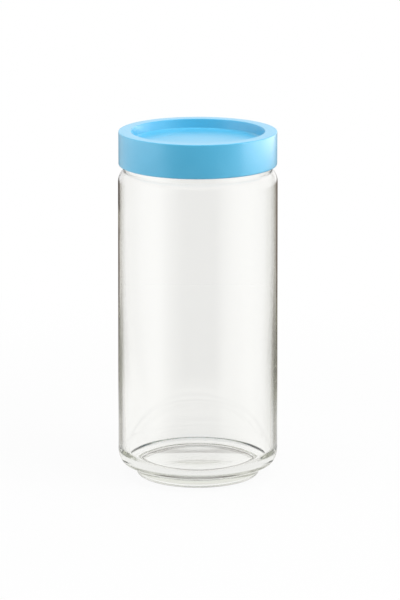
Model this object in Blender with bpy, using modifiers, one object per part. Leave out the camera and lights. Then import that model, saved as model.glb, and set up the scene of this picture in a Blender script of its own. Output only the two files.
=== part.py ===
# A stacking storage jar: a blown glass jar, a push-on plastic lid and the lid's seal ring.
# Metres, +Z up. The origin is the centre of the ring that the jar stands on.
# All three pieces are turned about Z. The lid and its ring hang on two empties on that
# axis, one for lifting the lid off and one for turning it.

from math import atan2, cos, degrees, pi, radians, sin, sqrt, tan

import bpy

COLLECTION_NAME = "storage_jar"
TURN_STEPS = 60
MERGE_DISTANCE = 0.00001

# Glass jar, outside
BODY_RADIUS = 0.0450
BODY_TAPER = 0.0006
SHOULDER_START = 0.1673
SHOULDER_RADIUS = 0.0090
NECK_FILLET = 0.0015
HEEL_RADIUS = 0.0110
HEEL_ANGLE = 30.0
HEEL_CORNER = 0.0036
UNDERSIDE_SLOPE = 16.0
FOOT_HEIGHT = 0.0048
FOOT_FILLET = 0.0007
FOOT_EDGE = 0.0014
REST_WIDTH = 0.0014
REST_EDGE = 0.0012
PUSH_UP = 0.0012

# Glass jar, wall and inside. The wall is thin above and thickens towards the foot.
NECK_WALL = 0.0017
WALL_AT_SHOULDER = 0.00135
WALL_AT_HEEL = 0.0034
WALL_TAPER_POWER = 5.5
INNER_HEEL_RADIUS = 0.0100
FLOOR_OVER_FOOT = 0.0025
FLOOR_DOME = 0.0015
WALL_POINT_SHARES = (0.14, 0.28, 0.42, 0.58, 0.78)

# Lid
LID_INSET = 0.0009
LID_HEIGHT = 0.0190
LID_DECK = 0.0020
SKIRT_WALL = 0.0019
SKIRT_LEAD = 0.0005
LID_TOP_EDGE = 0.0005
LID_LOWER_EDGE = 0.0009
PLUG_WALL = 0.0018
PLUG_FLANGE = 0.0010
PLUG_LEAD = 0.0005
RECESS_DRAFT = 0.0010
RECESS_FILLET = 0.0012
RECESS_FLOOR = 0.0020
GROOVE_DEPTH = 0.0020
GROOVE_HEIGHT = 0.0040

# Seal ring
SEAL_WALL = 0.0011
FIN_COUNT = 3
FIN_ROOT_SHARE = 0.62
FIN_TIP_SHARE = 0.34
FIN_LIFT_SHARE = 0.16

# Clearances between pieces
NECK_TO_SKIRT = 0.0009
NECK_TO_PLUG = 0.0006
LIP_TO_DECK = 0.0003
SHOULDER_TO_SKIRT = 0.0007
RING_TO_GROOVE = 0.0003
RING_TO_NECK = 0.0003
FOOT_TO_RECESS = 0.0013
FOOT_TO_RECESS_FLOOR = 0.0007

# Radii that the pieces share, from the outside in
SHOULDER_OUTSIDE = BODY_RADIUS - BODY_TAPER
LID_RADIUS = BODY_RADIUS - LID_INSET
SKIRT_BORE = LID_RADIUS - SKIRT_WALL
NECK_RADIUS = SKIRT_BORE - NECK_TO_SKIRT
NECK_BORE = NECK_RADIUS - NECK_WALL
PLUG_RADIUS = NECK_BORE - NECK_TO_PLUG
GROOVE_RADIUS = PLUG_RADIUS - GROOVE_DEPTH
PLUG_BORE = GROOVE_RADIUS - PLUG_WALL
RECESS_RADIUS = PLUG_RADIUS - PLUG_WALL
RECESS_FLOOR_RADIUS = RECESS_RADIUS - RECESS_DRAFT
FOOT_RADIUS = RECESS_FLOOR_RADIUS - FOOT_TO_RECESS

# Heights that the pieces share
SKIRT_BOTTOM = SHOULDER_START + SHOULDER_RADIUS + SHOULDER_TO_SKIRT
LID_SEAT = SKIRT_BOTTOM + LID_HEIGHT - LID_DECK
LIP_HEIGHT = LID_SEAT - LIP_TO_DECK
RECESS_DEPTH = FOOT_HEIGHT + FOOT_TO_RECESS_FLOOR
FLOOR_HEIGHT = FOOT_HEIGHT + FLOOR_OVER_FOOT

# Heights in the lid, from its seat on the lip
RECESS_FLOOR_TOP = LID_DECK - RECESS_DEPTH
GROOVE_TOP = RECESS_FLOOR_TOP - RECESS_FLOOR
GROOVE_BOTTOM = GROOVE_TOP - GROOVE_HEIGHT
PLUG_BOTTOM = GROOVE_BOTTOM - PLUG_FLANGE


def clear_scene():
    for thing in list(bpy.data.objects):
        bpy.data.objects.remove(thing)


def arc(centre, radius, start, end, points):
    """Points on an arc about centre, a radius and a height, between two angles in degrees from +X."""
    angles = [radians(start + (end - start) * i / (points - 1)) for i in range(points)]
    return [(centre[0] + radius * cos(a), centre[1] + radius * sin(a)) for a in angles]


def smooth_rise(start, end, rise, points):
    """Points between two radii, from a height at start, that rise along half a cosine wave."""
    found = []
    for i in range(points):
        share = i / (points - 1)
        radius = start[0] + (end - start[0]) * share
        found.append((radius, start[1] + rise * (1 - cos(pi * share)) / 2))
    return found


def shoulder_curve(radius, neck, fillet, points):
    """The curve from a neck of this radius, out round the shoulder, to where its body starts."""
    centre_r = SHOULDER_OUTSIDE - SHOULDER_RADIUS
    fillet_r = neck + fillet
    across = fillet_r - centre_r
    up = sqrt((radius + fillet) ** 2 - across**2)
    meet = degrees(atan2(up, across))
    neck_end = arc((fillet_r, SHOULDER_START + up), fillet, 180, 180 + meet, 3)
    return neck_end + arc((centre_r, SHOULDER_START), radius, meet, 0, points)[1:]


def wall_at(share):
    """The wall's thickness at a share of the way up the straight body."""
    return WALL_AT_SHOULDER + (WALL_AT_HEEL - WALL_AT_SHOULDER) * cos(pi * share / 2) ** WALL_TAPER_POWER


def jar_inside():
    """The glass from the middle of the floor up to the lip."""
    heel_r = BODY_RADIUS - WALL_AT_HEEL - INNER_HEEL_RADIUS
    heel_z = FLOOR_HEIGHT + INNER_HEEL_RADIUS
    points = smooth_rise((0, FLOOR_HEIGHT + FLOOR_DOME), heel_r, -FLOOR_DOME, 5)
    points += arc((heel_r, heel_z), INNER_HEEL_RADIUS, -90, 0, 7)[1:]
    for share in WALL_POINT_SHARES:
        radius = BODY_RADIUS - BODY_TAPER * share - wall_at(share)
        points.append((radius, heel_z + (SHOULDER_START - heel_z) * share))
    inner_shoulder = SHOULDER_RADIUS - WALL_AT_SHOULDER
    points += reversed(shoulder_curve(inner_shoulder, NECK_BORE, NECK_FILLET + NECK_WALL, 6))
    return points


def jar_lip():
    half_wall = NECK_WALL / 2
    return arc((NECK_BORE + half_wall, LIP_HEIGHT - half_wall), half_wall, 180, 0, 7)


def jar_heel():
    """The curve from the body, round the heel and in under it to the foot."""
    corner_end = 90 - UNDERSIDE_SLOPE
    lean = radians(HEEL_ANGLE)
    flat = radians(corner_end)
    inset = HEEL_RADIUS * (1 - cos(lean)) + HEEL_CORNER * (cos(lean) - cos(flat))
    underside_r = BODY_RADIUS - inset
    underside_z = FOOT_HEIGHT + (underside_r - FOOT_RADIUS) * tan(radians(UNDERSIDE_SLOPE))
    corner = (underside_r - HEEL_CORNER * cos(flat), underside_z + HEEL_CORNER * sin(flat))
    step = HEEL_RADIUS - HEEL_CORNER
    centre = (corner[0] - step * cos(lean), corner[1] + step * sin(lean))
    points = arc(centre, HEEL_RADIUS, 0, -HEEL_ANGLE, 6)
    points += arc(corner, HEEL_CORNER, -HEEL_ANGLE, -corner_end, 4)[1:]
    fillet = (FOOT_RADIUS + FOOT_FILLET, FOOT_HEIGHT - FOOT_FILLET)
    return points + arc(fillet, FOOT_FILLET, 90 + UNDERSIDE_SLOPE, 180, 3)


def jar_foot():
    """The foot's edge, the flat ring that the jar stands on, and the base inside that ring."""
    rest_outer = FOOT_RADIUS - FOOT_EDGE
    rest_inner = rest_outer - REST_WIDTH
    points = arc((rest_outer, FOOT_EDGE), FOOT_EDGE, 0, -90, 4)
    points += arc((rest_inner, REST_EDGE), REST_EDGE, -90, -180, 3)
    base_r = rest_inner - REST_EDGE
    return points + smooth_rise((base_r, REST_EDGE), 0, PUSH_UP - REST_EDGE, 5)[1:]


def jar_profile():
    outside = shoulder_curve(SHOULDER_RADIUS, NECK_RADIUS, NECK_FILLET, 7)
    return jar_inside() + jar_lip() + outside + jar_heel() + jar_foot()


def lid_profile():
    """The lid about its seat on the lip: recess, rim, skirt, then the plug with its groove."""
    draft = degrees(atan2(RECESS_DRAFT, RECESS_DEPTH))
    bottom = LID_DECK - LID_HEIGHT
    top_edge = LID_DECK - LID_TOP_EDGE
    fillet = (RECESS_FLOOR_RADIUS - RECESS_FILLET, RECESS_FLOOR_TOP + RECESS_FILLET)
    points = [(0, RECESS_FLOOR_TOP)]
    points += arc(fillet, RECESS_FILLET, -90, -draft, 4)
    points += arc((RECESS_RADIUS + LID_TOP_EDGE, top_edge), LID_TOP_EDGE, 180 - draft, 90, 3)
    points += arc((LID_RADIUS - LID_TOP_EDGE, top_edge), LID_TOP_EDGE, 90, 0, 3)
    lower_edge = (LID_RADIUS - LID_LOWER_EDGE, bottom + LID_LOWER_EDGE)
    points += arc(lower_edge, LID_LOWER_EDGE, 0, -90, 4)
    points += [(SKIRT_BORE + SKIRT_LEAD, bottom), (SKIRT_BORE, bottom + SKIRT_LEAD)]
    points += [(SKIRT_BORE, 0), (PLUG_RADIUS, 0)]
    points += [(PLUG_RADIUS, GROOVE_TOP), (GROOVE_RADIUS, GROOVE_TOP)]
    points += [(GROOVE_RADIUS, GROOVE_BOTTOM), (PLUG_RADIUS, GROOVE_BOTTOM)]
    points += [(PLUG_RADIUS - PLUG_LEAD, PLUG_BOTTOM), (PLUG_BORE, PLUG_BOTTOM)]
    return points + [(PLUG_BORE, GROOVE_TOP), (0, GROOVE_TOP)]


def ring_profile():
    """The seal ring about the lid's seat: a band in the groove, with fins that bend up as it goes in."""
    inner = GROOVE_RADIUS + RING_TO_GROOVE
    band = inner + SEAL_WALL
    tip = NECK_BORE - RING_TO_NECK
    top = GROOVE_TOP - RING_TO_GROOVE
    bottom = GROOVE_BOTTOM + RING_TO_GROOVE
    pitch = (top - bottom) / FIN_COUNT
    points = [(band, top)]
    for fin in range(FIN_COUNT):
        middle = top - pitch * (fin + 0.5)
        raised = middle + pitch * FIN_LIFT_SHARE
        points.append((band, middle + pitch * FIN_ROOT_SHARE / 2))
        points.append((tip, raised + pitch * FIN_TIP_SHARE / 2))
        points.append((tip, raised - pitch * FIN_TIP_SHARE / 2))
        points.append((band, middle - pitch * FIN_ROOT_SHARE / 2))
    return points + [(band, bottom), (inner, bottom), (inner, top)]


def make_material(name, colour, roughness, transmission=0.0, ior=1.5):
    material = bpy.data.materials.new(name)
    material.use_nodes = True
    shader = material.node_tree.nodes["Principled BSDF"]
    shader.inputs["Base Color"].default_value = (*colour, 1.0)
    shader.inputs["Roughness"].default_value = roughness
    shader.inputs["Metallic"].default_value = 0.0
    shader.inputs["Transmission Weight"].default_value = transmission
    shader.inputs["IOR"].default_value = ior
    material.diffuse_color = (*colour, 1.0)
    return material


def glass_material():
    return make_material("clear_glass", (0.93, 0.96, 0.94), 0.02, transmission=1.0, ior=1.52)


def lid_material():
    return make_material("sky_blue_plastic", (0.16, 0.52, 0.80), 0.32)


def seal_material():
    return make_material("milky_silicone", (0.82, 0.83, 0.80), 0.50)


def turned(name, profile, material, collection, parent, closed=False):
    """A piece turned about Z from a profile of radii and heights in its parent's frame."""
    mesh = bpy.data.meshes.new(name)
    corners = [(radius, 0, height) for radius, height in profile]
    edges = [(i, i + 1) for i in range(len(corners) - 1)]
    if closed:
        edges.append((len(corners) - 1, 0))
    mesh.from_pydata(corners, edges, [])
    piece = bpy.data.objects.new(name, mesh)
    collection.objects.link(piece)
    piece.parent = parent
    mesh.materials.append(material)
    screw = piece.modifiers.new("Turn", "SCREW")
    screw.axis = "Z"
    screw.angle = 2 * pi
    screw.steps = TURN_STEPS
    screw.render_steps = TURN_STEPS
    screw.use_merge_vertices = True
    screw.merge_threshold = MERGE_DISTANCE
    screw.use_smooth_shade = True
    return piece


def make_axis(name, height, collection, parent=None):
    """An empty on the jar's axis, which carries what moves there."""
    axis = bpy.data.objects.new(name, None)
    axis.empty_display_type = "ARROWS"
    axis.empty_display_size = BODY_RADIUS
    axis.location = (0, 0, height)
    axis.parent = parent
    collection.objects.link(axis)
    return axis


def build():
    clear_scene()
    jar = bpy.data.collections.new(COLLECTION_NAME)
    bpy.context.scene.collection.children.link(jar)
    lift_axis = make_axis("lid_lift_axis", LID_SEAT, jar)
    turn_axis = make_axis("lid_turn_axis", 0, jar, lift_axis)
    turned("glass_jar", jar_profile(), glass_material(), jar, None)
    turned("seal_ring", ring_profile(), seal_material(), jar, lift_axis, closed=True)
    turned("lid", lid_profile(), lid_material(), jar, turn_axis)
    bpy.context.view_layer.update()


build()
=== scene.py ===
# The finished look of a tall glass storage jar with a sky-blue push-on lid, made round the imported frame.
# Lengths are in metres and angles in degrees. +Z is the jar's axis, and the camera stands on the -Y side.

from math import atan2, cos, degrees, pi, radians, sin, sqrt, tan

import bpy
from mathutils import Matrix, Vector


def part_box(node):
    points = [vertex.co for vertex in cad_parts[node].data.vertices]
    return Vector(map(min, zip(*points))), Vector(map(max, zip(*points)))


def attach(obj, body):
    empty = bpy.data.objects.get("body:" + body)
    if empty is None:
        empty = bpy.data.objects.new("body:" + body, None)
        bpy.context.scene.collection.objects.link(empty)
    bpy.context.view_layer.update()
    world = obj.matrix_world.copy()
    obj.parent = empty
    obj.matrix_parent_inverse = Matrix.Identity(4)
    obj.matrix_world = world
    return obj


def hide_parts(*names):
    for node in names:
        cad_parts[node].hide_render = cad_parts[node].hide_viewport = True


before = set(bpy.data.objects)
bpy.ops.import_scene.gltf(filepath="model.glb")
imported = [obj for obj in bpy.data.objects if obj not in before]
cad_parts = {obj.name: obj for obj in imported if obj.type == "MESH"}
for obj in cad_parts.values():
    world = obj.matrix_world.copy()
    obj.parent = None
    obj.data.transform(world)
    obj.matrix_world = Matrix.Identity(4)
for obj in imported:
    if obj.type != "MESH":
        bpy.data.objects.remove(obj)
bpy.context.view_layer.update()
print("frame loaded:", ", ".join(sorted(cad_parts)))

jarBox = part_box("glass_jar")
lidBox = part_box("lid")
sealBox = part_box("seal_ring")

turning = {"seedSize": 0.001, "mergeWithin": 0.000004, "creaseAngle": 40}
pureWhite = (1.0, 1.0, 1.0)


def arcPoints(centre, radius, start, end, count):
    # points on an arc about a radius and a height, from one angle to another, both from +X
    turns = [radians(start + (end - start) * i / count) for i in range(count + 1)]
    return [(centre[0] + radius * cos(a), centre[1] + radius * sin(a)) for a in turns]


def easedPoints(start, end, rise, count):
    # points between two radii that rise along half a cosine wave
    shares = [i / count for i in range(count + 1)]
    return [(start[0] + (end - start[0]) * s, start[1] + rise * (1 - cos(pi * s)) / 2) for s in shares]


def turnPiece(name, outline, steps, closed=False):
    # the outline is drawn point by point on the XZ plane, spun round Z and sewn up
    bpy.ops.object.select_all(action="DESELECT")
    bpy.ops.mesh.primitive_plane_add(size=turning["seedSize"], location=(outline[0][0], 0, outline[0][1]))
    piece = bpy.context.object
    piece.name = piece.data.name = name
    bpy.ops.object.transform_apply(location=True)
    bpy.ops.object.mode_set(mode="EDIT")
    bpy.ops.mesh.select_all(action="SELECT")
    bpy.ops.mesh.merge(type="CENTER")
    for here, there in zip(outline, outline[1:] + outline[:1] * closed):
        move = (there[0] - here[0], 0, there[1] - here[1])
        bpy.ops.mesh.extrude_vertices_move(TRANSFORM_OT_translate={"value": move})
    bpy.ops.mesh.select_all(action="SELECT")
    bpy.ops.mesh.spin(steps=steps, angle=2 * pi, center=(0, 0, 0), axis=(0, 0, 1))
    bpy.ops.mesh.select_all(action="SELECT")
    bpy.ops.mesh.remove_doubles(threshold=turning["mergeWithin"])
    bpy.ops.mesh.normals_make_consistent(inside=False)
    bpy.ops.object.mode_set(mode="OBJECT")
    bpy.ops.object.shade_smooth_by_angle(angle=radians(turning["creaseAngle"]))
    return piece


def addNode(tree, kind, **settings):
    node = tree.nodes.new(kind)
    for key, value in settings.items():
        setattr(node, key, value)
    return node


def mathNode(tree, operation, *values, clamp=False):
    # each value may be a socket or a number
    node = addNode(tree, "ShaderNodeMath", operation=operation, use_clamp=clamp)
    for socket, value in zip(node.inputs, values):
        if isinstance(value, (int, float)):
            socket.default_value = value
        else:
            tree.links.new(value, socket)
    return node.outputs[0]


def newGroup(name, inputs, outputs):
    group = bpy.data.node_groups.new(name, "ShaderNodeTree")
    for socketName, kind, value in inputs:
        socket = group.interface.new_socket(socketName, in_out="INPUT", socket_type=kind)
        if value is not None:
            socket.default_value = value
    for socketName, kind in outputs:
        group.interface.new_socket(socketName, in_out="OUTPUT", socket_type=kind)
    return group, group.nodes.new("NodeGroupInput"), group.nodes.new("NodeGroupOutput")


grainNoise = {"scale": 50.0, "detail": 3.0, "lowest": 0.3, "highest": 0.7}


def buildGrainGroup():
    # noise through the piece, mapped between two values
    asked = [("Scale", "NodeSocketFloat", grainNoise["scale"])]
    asked += [("Low", "NodeSocketFloat", 0.0), ("High", "NodeSocketFloat", 1.0)]
    group, given, result = newGroup("surfaceGrain", asked, [("Value", "NodeSocketFloat")])
    place = addNode(group, "ShaderNodeTexCoord")
    noise = addNode(group, "ShaderNodeTexNoise")
    noise.inputs["Detail"].default_value = grainNoise["detail"]
    spread = addNode(group, "ShaderNodeMapRange")
    spread.inputs["From Min"].default_value = grainNoise["lowest"]
    spread.inputs["From Max"].default_value = grainNoise["highest"]
    group.links.new(place.outputs["Object"], noise.inputs["Vector"])
    group.links.new(given.outputs["Scale"], noise.inputs["Scale"])
    group.links.new(noise.outputs["Fac"], spread.inputs["Value"])
    group.links.new(given.outputs["Low"], spread.inputs["To Min"])
    group.links.new(given.outputs["High"], spread.inputs["To Max"])
    group.links.new(spread.outputs["Result"], result.inputs["Value"])
    return group


surfaceGrain = buildGrainGroup()


def grain(tree, scale, low=0.0, high=1.0):
    node = addNode(tree, "ShaderNodeGroup", node_tree=surfaceGrain)
    node.inputs["Scale"].default_value = scale
    node.inputs["Low"].default_value = low
    node.inputs["High"].default_value = high
    return node.outputs["Value"]


def paintSocket(socket, colour):
    # three numbers, or one for a grey
    if not isinstance(colour, tuple):
        colour = (colour,) * 3
    socket.default_value = (*colour, 1.0)


mixSockets = {"share": 0, "first": 6, "second": 7, "result": 2}  # of a Mix node set to colours


def blend(tree, share, first, second):
    # either colour may be a socket or three numbers
    node = addNode(tree, "ShaderNodeMix", data_type="RGBA")
    tree.links.new(share, node.inputs[mixSockets["share"]])
    for place, colour in (("first", first), ("second", second)):
        socket = node.inputs[mixSockets[place]]
        if isinstance(colour, tuple):
            paintSocket(socket, colour)
        else:
            tree.links.new(colour, socket)
    return node.outputs[mixSockets["result"]]


def easedBetween(tree, value, low, high, start=0.0, end=1.0):
    # goes softly from start to end while the value goes from low to high
    node = addNode(tree, "ShaderNodeMapRange", interpolation_type="SMOOTHSTEP")
    for name, number in (("From Min", low), ("From Max", high), ("To Min", start), ("To Max", end)):
        node.inputs[name].default_value = number
    tree.links.new(value, node.inputs["Value"])
    return node.outputs["Result"]


def bumpFrom(tree, height, distance, strength=1.0):
    node = addNode(tree, "ShaderNodeBump")
    node.inputs["Distance"].default_value = distance
    node.inputs["Strength"].default_value = strength
    tree.links.new(height, node.inputs["Height"])
    return node.outputs["Normal"]


def mixShaders(tree, share, first, second):
    node = addNode(tree, "ShaderNodeMixShader")
    for socket, source in zip(node.inputs, (share, first, second)):
        tree.links.new(source, socket)
    return node.outputs["Shader"]


def newMaterial(name):
    material = bpy.data.materials.new(name)
    material.use_nodes = True
    tree = material.node_tree
    return material, tree, tree.nodes["Principled BSDF"], tree.nodes["Material Output"]


def dress(piece, material):
    piece.data.materials.clear()
    piece.data.materials.append(material)


# Glass jar

jarSizes = {
    "steps": 240,
    "shoulderStart": 0.1673,
    "shoulderRadius": 0.0090,
    "neckRadius": 0.0413,
    "neckFillet": 0.0015,
    "neckWall": 0.0017,
    "wallAtShoulder": 0.00135,
    "wallAtHeel": 0.0034,
    "wallTaperPower": 5.5,
    "bodyTaper": 0.0006,
    "innerHeelRadius": 0.0100,
    "heelRadius": 0.0110,
    "heelAngle": 30,
    "heelCorner": 0.0036,
    "undersideSlope": 16,
    "footRadius": 0.0349,
    "footHeight": 0.0048,
    "footFillet": 0.0007,
    "footEdge": 0.0014,
    "restWidth": 0.0014,
    "restEdge": 0.0012,
    "pushUp": 0.0012,
    "floorOverFoot": 0.0025,
    "floorDome": 0.0015,
    "wallPoints": 40,
}
jarPoints = {
    "floor": 20,
    "innerHeel": 24,
    "innerShoulder": 18,
    "lip": 16,
    "shoulder": 22,
    "neckFillet": 8,
    "heel": 18,
    "heelCorner": 10,
    "footFillet": 8,
    "footEdge": 10,
    "restEdge": 8,
    "pushUp": 20,
}


def shoulderPoints(bodyRadius, radius, neck, fillet, count):
    sizes = jarSizes
    centre = (bodyRadius - sizes["bodyTaper"] - sizes["shoulderRadius"], sizes["shoulderStart"])
    across = neck + fillet - centre[0]
    up = sqrt((radius + fillet) ** 2 - across**2)
    meet = degrees(atan2(up, across))
    neckEnd = arcPoints((neck + fillet, centre[1] + up), fillet, 180, 180 + meet, jarPoints["neckFillet"])
    return neckEnd + arcPoints(centre, radius, meet, 0, count)[1:]


def jarOutline():
    sizes = jarSizes
    bodyRadius = jarBox[1].x
    lipHeight = jarBox[1].z
    floorHeight = sizes["footHeight"] + sizes["floorOverFoot"]
    neckBore = sizes["neckRadius"] - sizes["neckWall"]
    innerHeel = sizes["innerHeelRadius"]
    heelR = bodyRadius - sizes["wallAtHeel"] - innerHeel
    heelZ = floorHeight + innerHeel
    floorMiddle = (0, floorHeight + sizes["floorDome"])
    points = easedPoints(floorMiddle, heelR, -sizes["floorDome"], jarPoints["floor"])
    points += arcPoints((heelR, heelZ), innerHeel, -90, 0, jarPoints["innerHeel"])[1:]
    for i in range(1, sizes["wallPoints"]):
        share = i / sizes["wallPoints"]
        taper = cos(pi * share / 2) ** sizes["wallTaperPower"]
        wall = sizes["wallAtShoulder"] + (sizes["wallAtHeel"] - sizes["wallAtShoulder"]) * taper
        innerRadius = bodyRadius - sizes["bodyTaper"] * share - wall
        points.append((innerRadius, heelZ + (sizes["shoulderStart"] - heelZ) * share))
    innerShoulder = sizes["shoulderRadius"] - sizes["wallAtShoulder"]
    innerFillet = sizes["neckFillet"] + sizes["neckWall"]
    inside = shoulderPoints(bodyRadius, innerShoulder, neckBore, innerFillet, jarPoints["innerShoulder"])
    points += reversed(inside)
    halfWall = sizes["neckWall"] / 2
    points += arcPoints((neckBore + halfWall, lipHeight - halfWall), halfWall, 180, 0, jarPoints["lip"])
    neck, fillet = sizes["neckRadius"], sizes["neckFillet"]
    points += shoulderPoints(bodyRadius, sizes["shoulderRadius"], neck, fillet, jarPoints["shoulder"])
    return points + heelPoints(bodyRadius) + footPoints()


def heelPoints(bodyRadius):
    sizes = jarSizes
    slope = sizes["undersideSlope"]
    heelAngle = sizes["heelAngle"]
    lean = radians(heelAngle)
    cornerEnd = 90 - slope
    flat = radians(cornerEnd)
    cornerRadius = sizes["heelCorner"]
    inset = sizes["heelRadius"] * (1 - cos(lean)) + cornerRadius * (cos(lean) - cos(flat))
    undersideR = bodyRadius - inset
    undersideZ = sizes["footHeight"] + (undersideR - sizes["footRadius"]) * tan(radians(slope))
    corner = (undersideR - cornerRadius * cos(flat), undersideZ + cornerRadius * sin(flat))
    step = sizes["heelRadius"] - cornerRadius
    centre = (corner[0] - step * cos(lean), corner[1] + step * sin(lean))
    points = arcPoints(centre, sizes["heelRadius"], 0, -heelAngle, jarPoints["heel"])
    points += arcPoints(corner, cornerRadius, -heelAngle, -cornerEnd, jarPoints["heelCorner"])[1:]
    fillet = sizes["footFillet"]
    filletCentre = (sizes["footRadius"] + fillet, sizes["footHeight"] - fillet)
    return points + arcPoints(filletCentre, fillet, 90 + slope, 180, jarPoints["footFillet"])


def footPoints():
    sizes = jarSizes
    restOuter = sizes["footRadius"] - sizes["footEdge"]
    restInner = restOuter - sizes["restWidth"]
    outerEdge, innerEdge = sizes["footEdge"], sizes["restEdge"]
    points = arcPoints((restOuter, outerEdge), outerEdge, 0, -90, jarPoints["footEdge"])
    points += arcPoints((restInner, innerEdge), innerEdge, -90, -180, jarPoints["restEdge"])
    start = (restInner - innerEdge, innerEdge)
    return points + easedPoints(start, 0, sizes["pushUp"] - innerEdge, jarPoints["pushUp"])[1:]


glassFinish = {
    "tint": (0.99, 0.99, 0.98),
    # painted shade: a dark brown edge colour that stands in for the dark surroundings seen at the glass's
    # edges
    "paintedEdgeShade": (0.50, 0.44, 0.36),
    "paintedEdgeShadeStart": 0.80,
    "paintedEdgeShadeEnd": 0.92,
    "paintedLowEdgeShade": (0.14, 0.13, 0.10),
    "paintedLowEdgeShadeStart": 0.60,
    "paintedLowEdgeShadeEnd": 0.74,
    "paintedLowEdgeShadeFoot": (0.012, 0.022),
    "paintedLowEdgeShadeTop": (0.070, 0.130),
    "paintedShadeOuterFace": (0.0436, 0.0438),
    "roughness": 0.0,
    "ior": 1.52,
    "depthTint": (0.88, 0.89, 0.82),
    "depthTintDensity": 12.0,
    "waveScale": 9.0,
    "waveHeight": 0.00025,
    "shadowTint": 0.86,
}


def glassMaterial():
    finish = glassFinish
    material, tree, shader, output = newMaterial("clearGlass")
    shader.inputs["Transmission Weight"].default_value = 1.0
    shader.inputs["IOR"].default_value = finish["ior"]
    shader.inputs["Roughness"].default_value = finish["roughness"]
    # painted shade: the glass's colour goes dark brown where it is seen edge-on, standing in for the dark
    # surroundings seen there
    facing = addNode(tree, "ShaderNodeLayerWeight").outputs["Facing"]
    paintedEdgeShadeMask = easedBetween(tree, facing, finish["paintedEdgeShadeStart"], finish["paintedEdgeShadeEnd"])
    colour = blend(tree, paintedEdgeShadeMask, finish["tint"], finish["paintedEdgeShade"])
    # painted shade, lower down: the wall is thicker there, so a wider painted dark edge band is drawn there,
    # on the outer face only
    place = addNode(tree, "ShaderNodeSeparateXYZ")
    tree.links.new(addNode(tree, "ShaderNodeTexCoord").outputs["Object"], place.inputs["Vector"])
    squares = [mathNode(tree, "MULTIPLY", place.outputs[axis], place.outputs[axis]) for axis in "XY"]
    radius = mathNode(tree, "SQRT", mathNode(tree, "ADD", *squares))
    height = place.outputs["Z"]
    paintedLowEdgeShadeMask = easedBetween(tree, facing, finish["paintedLowEdgeShadeStart"], finish["paintedLowEdgeShadeEnd"])
    for limit in (
        easedBetween(tree, height, *finish["paintedLowEdgeShadeTop"], 1.0, 0.0),
        easedBetween(tree, height, *finish["paintedLowEdgeShadeFoot"]),
        easedBetween(tree, radius, *finish["paintedShadeOuterFace"]),
    ):
        paintedLowEdgeShadeMask = mathNode(tree, "MULTIPLY", paintedLowEdgeShadeMask, limit)
    colour = blend(tree, paintedLowEdgeShadeMask, colour, finish["paintedLowEdgeShade"])
    tree.links.new(colour, shader.inputs["Base Color"])
    waves = grain(tree, finish["waveScale"])
    tree.links.new(bumpFrom(tree, waves, finish["waveHeight"]), shader.inputs["Normal"])
    absorb = addNode(tree, "ShaderNodeVolumeAbsorption")
    paintSocket(absorb.inputs["Color"], finish["depthTint"])
    absorb.inputs["Density"].default_value = finish["depthTintDensity"]
    tree.links.new(absorb.outputs["Volume"], output.inputs["Volume"])
    # shadow rays pass through, so that the floor under the jar stays light
    path = addNode(tree, "ShaderNodeLightPath")
    clear = addNode(tree, "ShaderNodeBsdfTransparent")
    paintSocket(clear.inputs["Color"], finish["shadowTint"])
    mixed = mixShaders(tree, path.outputs["Is Shadow Ray"], shader.outputs["BSDF"], clear.outputs["BSDF"])
    tree.links.new(mixed, output.inputs["Surface"])
    return material


glassJar = turnPiece("clear_jar", jarOutline(), jarSizes["steps"])
dress(glassJar, glassMaterial())
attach(glassJar, "jar")
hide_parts("glass_jar")
print("glass jar turned:", len(glassJar.data.polygons), "faces")

# Lid

lidSizes = {
    "steps": 240,
    "deck": 0.0020,
    "skirtWall": 0.0019,
    "skirtLead": 0.0005,
    "topEdge": 0.0005,
    "lowerEdge": 0.0009,
    "plugRadius": 0.0390,
    "plugWall": 0.0018,
    "plugFlange": 0.0010,
    "plugLead": 0.0005,
    "recessDepth": 0.0055,
    "recessDraft": 0.0010,
    "recessFillet": 0.0012,
    "recessFloor": 0.0020,
    "grooveDepth": 0.0020,
    "grooveHeight": 0.0040,
    "filletPoints": 10,
    "edgePoints": 8,
}


def lidOutline():
    sizes = lidSizes
    top = lidBox[1].z
    bottom = lidBox[0].z
    radius = lidBox[1].x
    seat = top - sizes["deck"]
    recessFloor = top - sizes["recessDepth"]
    recessRadius = sizes["plugRadius"] - sizes["plugWall"]
    floorRadius = recessRadius - sizes["recessDraft"]
    draft = degrees(atan2(sizes["recessDraft"], sizes["recessDepth"]))
    edge, edgeCount = sizes["topEdge"], sizes["edgePoints"]
    fillet, filletCount = sizes["recessFillet"], sizes["filletPoints"]
    points = [(0, recessFloor)]
    points += arcPoints((floorRadius - fillet, recessFloor + fillet), fillet, -90, -draft, filletCount)
    points += arcPoints((recessRadius + edge, top - edge), edge, 180 - draft, 90, edgeCount)
    points += arcPoints((radius - edge, top - edge), edge, 90, 0, edgeCount)
    lower = sizes["lowerEdge"]
    points += arcPoints((radius - lower, bottom + lower), lower, 0, -90, filletCount)
    bore = radius - sizes["skirtWall"]
    points += [(bore + sizes["skirtLead"], bottom), (bore, bottom + sizes["skirtLead"]), (bore, seat)]
    plug = sizes["plugRadius"]
    grooveRadius = plug - sizes["grooveDepth"]
    grooveTop = recessFloor - sizes["recessFloor"]
    grooveBottom = grooveTop - sizes["grooveHeight"]
    plugBottom = grooveBottom - sizes["plugFlange"]
    plugBore = grooveRadius - sizes["plugWall"]
    points += [(plug, seat), (plug, grooveTop), (grooveRadius, grooveTop)]
    points += [(grooveRadius, grooveBottom), (plug, grooveBottom)]
    points += [(plug - sizes["plugLead"], plugBottom), (plugBore, plugBottom)]
    return points + [(plugBore, grooveTop), (0, grooveTop)]


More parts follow.
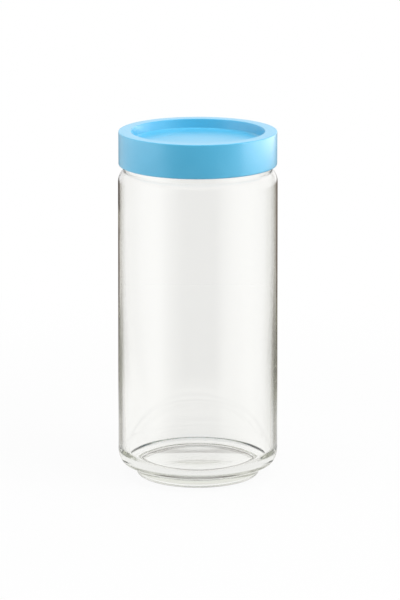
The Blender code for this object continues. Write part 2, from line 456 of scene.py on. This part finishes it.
lidFinish = {
    "deepBlue": (0.070, 0.43, 0.68),
    "paleBlue": (0.085, 0.46, 0.71),
    "mottleScale": 45.0,
    "grainScale": 1500.0,
    "roughnessLow": 0.28,
    "roughnessHigh": 0.38,
    "grainHeight": 0.00002,
    "coat": 0.8,
    "coatRoughness": 0.3,
}


def lidMaterial():
    finish = lidFinish
    material, tree, shader, _ = newMaterial("skyBluePlastic")
    mottle = grain(tree, finish["mottleScale"])
    colour = blend(tree, mottle, finish["deepBlue"], finish["paleBlue"])
    tree.links.new(colour, shader.inputs["Base Color"])
    shader.inputs["Coat Weight"].default_value = finish["coat"]
    shader.inputs["Coat Roughness"].default_value = finish["coatRoughness"]
    satin = grain(tree, finish["grainScale"], finish["roughnessLow"], finish["roughnessHigh"])
    tree.links.new(satin, shader.inputs["Roughness"])
    fine = grain(tree, finish["grainScale"])
    tree.links.new(bumpFrom(tree, fine, finish["grainHeight"]), shader.inputs["Normal"])
    return material


blueLid = turnPiece("blue_lid", lidOutline(), lidSizes["steps"])
dress(blueLid, lidMaterial())
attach(blueLid, "lid")
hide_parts("lid")
print("lid turned:", len(blueLid.data.polygons), "faces")

# Seal ring

sealSizes = {
    "steps": 180,
    "bandWall": 0.0011,
    "innerRadius": 0.0373,
    "fins": 3,
    "rootShare": 0.62,
    "tipShare": 0.34,
    "liftShare": 0.16,
    "tipPoints": 6,
}


def sealOutline():
    sizes = sealSizes
    top = sealBox[1].z
    bottom = sealBox[0].z
    inner = sizes["innerRadius"]
    band = inner + sizes["bandWall"]
    tip = sealBox[1].x
    pitch = (top - bottom) / sizes["fins"]
    points = [(band, top)]
    for fin in range(sizes["fins"]):
        middle = top - pitch * (fin + 0.5)
        tipRadius = pitch * sizes["tipShare"] / 2
        tipCentre = (tip - tipRadius, middle + pitch * sizes["liftShare"])
        points.append((band, middle + pitch * sizes["rootShare"] / 2))
        points += arcPoints(tipCentre, tipRadius, 90, -90, sizes["tipPoints"])
        points.append((band, middle - pitch * sizes["rootShare"] / 2))
    return points + [(band, bottom), (inner, bottom), (inner, top)]


sealFinish = {
    "dull": (0.74, 0.75, 0.73),
    "milky": (0.86, 0.87, 0.85),
    "mottleScale": 220.0,
    "roughnessLow": 0.42,
    "roughnessHigh": 0.55,
    "grainHeight": 0.00002,
}


def sealMaterial():
    finish = sealFinish
    material, tree, shader, _ = newMaterial("milkySilicone")
    mottle = grain(tree, finish["mottleScale"])
    colour = blend(tree, mottle, finish["dull"], finish["milky"])
    tree.links.new(colour, shader.inputs["Base Color"])
    matt = grain(tree, finish["mottleScale"], finish["roughnessLow"], finish["roughnessHigh"])
    tree.links.new(matt, shader.inputs["Roughness"])
    tree.links.new(bumpFrom(tree, mottle, finish["grainHeight"]), shader.inputs["Normal"])
    return material


sealRing = turnPiece("finned_seal", sealOutline(), sealSizes["steps"], closed=True)
dress(sealRing, sealMaterial())
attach(sealRing, "seal")
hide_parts("seal_ring")
print("seal ring turned:", len(sealRing.data.polygons), "faces")

# Studio: what reflections see all round, as a colour for each direction from the jar's axis.
# 0 is towards the camera's side, and angles grow towards +X.

studioRing = {
    "stops": (
        (-180, (0.11, 0.085, 0.065)), (-158, (0.14, 0.11, 0.085)), (-150, (0.68, 0.67, 0.63)),
        (-136, (0.82, 0.82, 0.78)), (-129, (1.0, 1.0, 1.0)), (-62, (0.98, 0.98, 0.98)),
        (-22, (0.04, 0.04, 0.04)), (22, (0.04, 0.04, 0.04)), (36, (0.40, 0.40, 0.40)),
        (78, (0.98, 0.98, 0.98)), (90, (0.90, 0.90, 0.90)), (120, (0.50, 0.50, 0.47)),
        (148, (0.55, 0.54, 0.50)), (158, (0.20, 0.165, 0.14)), (180, (0.11, 0.085, 0.065)),
    ),
    "backWall": pureWhite,
    "ceiling": (0.62, 0.62, 0.62),
}


def buildStudioGroup():
    group, given, result = newGroup(
        "studioRing", [("Direction", "NodeSocketVector", None)], [("Colour", "NodeSocketColor")]
    )
    split = addNode(group, "ShaderNodeSeparateXYZ")
    group.links.new(given.outputs["Direction"], split.inputs["Vector"])
    ahead = mathNode(group, "MULTIPLY", split.outputs["Y"], -1.0)
    turn = mathNode(group, "ARCTAN2", split.outputs["X"], ahead)
    share = mathNode(group, "MULTIPLY_ADD", turn, 1 / (2 * pi), 0.5)
    ramp = addNode(group, "ShaderNodeValToRGB")
    ramp.color_ramp.interpolation = "EASE"
    stops = ramp.color_ramp.elements
    stops.remove(stops[-1])
    stops[0].color = (*studioRing["stops"][0][1], 1.0)
    for angle, colour in studioRing["stops"][1:]:
        stops.new(angle / 360 + 0.5).color = (*colour, 1.0)
    group.links.new(share, ramp.inputs["Fac"])
    group.links.new(ramp.outputs["Color"], result.inputs["Colour"])
    return group


studioGroup = buildStudioGroup()


def rayKinds(tree):
    # backdrop rays come straight from the camera or through glass, with no reflection, and see plain white
    path = addNode(tree, "ShaderNodeLightPath").outputs
    reflected = mathNode(tree, "SUBTRACT", path["Ray Depth"], path["Transmission Depth"], clamp=True)
    straight = mathNode(tree, "SUBTRACT", 1.0, reflected, clamp=True)
    through = mathNode(tree, "MULTIPLY", path["Is Transmission Ray"], straight)
    backdrop = mathNode(tree, "MAXIMUM", path["Is Camera Ray"], through)
    mirrored = mathNode(tree, "MAXIMUM", path["Is Glossy Ray"], path["Is Transmission Ray"])
    studio = mathNode(tree, "SUBTRACT", mirrored, through, clamp=True)
    return backdrop, studio


worldLight = {
    "strength": 1.0,
    "fill": 0.33,
    "wallFrom": 0.0,
    "wallTo": 0.7,
    "ceilingFrom": 0.45,
    "ceilingTo": 0.75,
}


def buildWorld():
    light = worldLight
    world = bpy.data.worlds.new("studioWorld")
    bpy.context.scene.world = world
    world.use_nodes = True
    tree = world.node_tree
    background = tree.nodes["Background"]
    background.inputs["Strength"].default_value = light["strength"]
    direction = addNode(tree, "ShaderNodeTexCoord").outputs["Generated"]
    ring = addNode(tree, "ShaderNodeGroup", node_tree=studioGroup)
    tree.links.new(direction, ring.inputs["Direction"])
    split = addNode(tree, "ShaderNodeSeparateXYZ")
    tree.links.new(direction, split.inputs["Vector"])
    # above the horizon the wall behind and the ceiling are lit as well
    wall = easedBetween(tree, split.outputs["Y"], light["wallFrom"], light["wallTo"])
    seen = blend(tree, wall, ring.outputs["Colour"], studioRing["backWall"])
    ceiling = easedBetween(tree, split.outputs["Z"], light["ceilingFrom"], light["ceilingTo"])
    seen = blend(tree, ceiling, seen, studioRing["ceiling"])
    backdrop, studio = rayKinds(tree)
    colour = blend(tree, studio, (light["fill"],) * 3, seen)
    tree.links.new(blend(tree, backdrop, colour, pureWhite), background.inputs["Color"])


buildWorld()

floorSizes = {
    "half": 12.0,
    "drop": 0.0002,
    "albedo": 0.7,
    "shadowShare": 0.08,
    "shadowEnd": 0.15,
    "whiteFrom": 0.45,
    # painted light: the lit floor near the jar as reflections see it, painted as a glow
    "paintedNearFloorLight": (0.88, 0.88, 0.87),
    "nearEnd": 0.06,
    "farStart": 0.12,
    "backReach": 0.48,
    "backStart": 0.9,
    "backEnd": 1.8,
    # painted shadow: a dark ring on the floor round the jar's foot
    "paintedShadowRadius": 0.0326,
    "paintedShadowHalf": 0.0018,
    "paintedShadowColour": (0.12, 0.10, 0.09),
}


def buildFloor():
    sizes = floorSizes
    bpy.ops.object.select_all(action="DESELECT")
    bpy.ops.mesh.primitive_plane_add(size=2 * sizes["half"], location=(0, 0, -sizes["drop"]))
    floor = bpy.context.object
    floor.name = "floor"
    material, tree, shader, output = newMaterial("whiteFloor")
    material.cycles.emission_sampling = "NONE"
    tree.nodes.remove(shader)
    matt = addNode(tree, "ShaderNodeBsdfDiffuse")
    paintSocket(matt.inputs["Color"], sizes["albedo"])
    white = addNode(tree, "ShaderNodeEmission")
    paintedStudioGlow = addNode(tree, "ShaderNodeEmission")
    ring = addNode(tree, "ShaderNodeGroup", node_tree=studioGroup)
    place = addNode(tree, "ShaderNodeNewGeometry").outputs["Position"]
    tree.links.new(place, ring.inputs["Direction"])
    length = addNode(tree, "ShaderNodeVectorMath", operation="LENGTH")
    tree.links.new(place, length.inputs[0])
    away = length.outputs["Value"]
    split = addNode(tree, "ShaderNodeSeparateXYZ")
    tree.links.new(place, split.inputs["Vector"])
    ahead = mathNode(tree, "DIVIDE", split.outputs["Y"], away)
    back = easedBetween(tree, ahead, worldLight["wallFrom"], worldLight["wallTo"])
    # painted light: reflections see the floor glow with a painted lit floor first, which reaches further
    # behind the jar, then the painted studio ring and the wall
    deep = easedBetween(tree, away, sizes["backStart"], sizes["backEnd"])
    behind = mathNode(tree, "MULTIPLY", back, deep)
    around = blend(tree, behind, ring.outputs["Colour"], studioRing["backWall"])
    nearer = mathNode(tree, "MULTIPLY_ADD", back, -sizes["backReach"], 1.0)
    reach = mathNode(tree, "MULTIPLY", away, nearer)
    far = easedBetween(tree, reach, sizes["nearEnd"], sizes["farStart"])
    around = blend(tree, far, sizes["paintedNearFloorLight"], around)
    # painted shadow: a dark ring is painted into the floor's glowing colours where the jar stands on it,
    # standing in for its contact shadow
    beside = mathNode(tree, "ABSOLUTE", mathNode(tree, "SUBTRACT", away, sizes["paintedShadowRadius"]))
    paintedShadowMask = easedBetween(tree, beside, 0.0, sizes["paintedShadowHalf"], 1.0, 0.0)
    tree.links.new(blend(tree, paintedShadowMask, around, sizes["paintedShadowColour"]), paintedStudioGlow.inputs["Color"])
    tree.links.new(blend(tree, paintedShadowMask, pureWhite, sizes["paintedShadowColour"]), white.inputs["Color"])
    backdrop, studio = rayKinds(tree)
    # the floor is plain white, with a share of its own shading kept near the jar for the shadow
    whiteNear = 1 - sizes["shadowShare"]
    whiteShare = easedBetween(tree, away, sizes["shadowEnd"], sizes["whiteFrom"], whiteNear, 1.0)
    whitening = mathNode(tree, "MULTIPLY", backdrop, whiteShare)
    whitened = mixShaders(tree, whitening, matt.outputs["BSDF"], white.outputs["Emission"])
    seen = mixShaders(tree, studio, whitened, paintedStudioGlow.outputs["Emission"])
    tree.links.new(seen, output.inputs["Surface"])
    dress(floor, material)


buildFloor()

# three lamps and the fill light the colours, and a bright box at each side gives the lid its gloss
lamps = {
    "lowLeft": {"place": (-1.3, -0.35, 0.35), "size": (1.0, 0.6), "power": 7.5, "gloss": False},
    "softRight": {"place": (1.02, -0.54, 1.14), "size": (1.0, 0.9), "power": 16.5, "gloss": False},
    "above": {"place": (0.1, -0.1, 1.5), "size": (1.0, 1.0), "power": 12.0, "gloss": False},
    "boxLeft": {"place": (-1.0, -0.09, 0.17), "size": (1.4, 0.34), "power": 1.2, "gloss": True},
    "boxRight": {"place": (0.97, 0.26, 0.17), "size": (1.6, 0.34), "power": 6.3, "gloss": True},
}

glossy = bpy.data.collections.new("glossy")
glossy.objects.link(blueLid)


def addLamp(name, values):
    data = bpy.data.lights.new(name, "AREA")
    data.shape = "RECTANGLE"
    data.size, data.size_y = values["size"]
    data.energy = values["power"]
    lamp = bpy.data.objects.new(name, data)
    lamp.location = values["place"]
    aim = Vector((0, 0, (jarBox[0].z + jarBox[1].z) / 2)) - lamp.location
    if values["gloss"]:
        aim.z = 0
        lamp.light_linking.receiver_collection = glossy
    lamp.rotation_euler = aim.to_track_quat("-Z", "Y").to_euler()
    lamp.visible_camera = False
    lamp.visible_diffuse = not values["gloss"]
    lamp.visible_glossy = values["gloss"]
    lamp.visible_transmission = False
    bpy.context.scene.collection.objects.link(lamp)


for name, values in lamps.items():
    addLamp(name, values)
print("studio lit")

cameraView = {
    "distance": 1.833,
    "pitch": 13.3,
    "aim": (0.0012, 0, 0.0995),
    "lens": 196.0,
    "sensor": 36.0,
    "reach": 100.0,
}
lightBounces = 90  # glass sends light round inside its walls


def addCamera():
    view = cameraView
    data = bpy.data.cameras.new("photoCamera")
    data.lens = view["lens"]
    data.sensor_width = view["sensor"]
    data.clip_end = view["reach"]
    camera = bpy.data.objects.new("photoCamera", data)
    pitch = radians(view["pitch"])
    back = Vector((0, -cos(pitch), sin(pitch))) * view["distance"]
    camera.location = Vector(view["aim"]) + back
    camera.rotation_euler = (pi / 2 - pitch, 0, 0)
    bpy.context.scene.collection.objects.link(camera)
    bpy.context.scene.camera = camera


addCamera()
bpy.context.scene.view_settings.view_transform = "Standard"
for kind in ("max_bounces", "transmission_bounces", "glossy_bounces"):
    setattr(bpy.context.scene.cycles, kind, lightBounces)
print("camera placed")
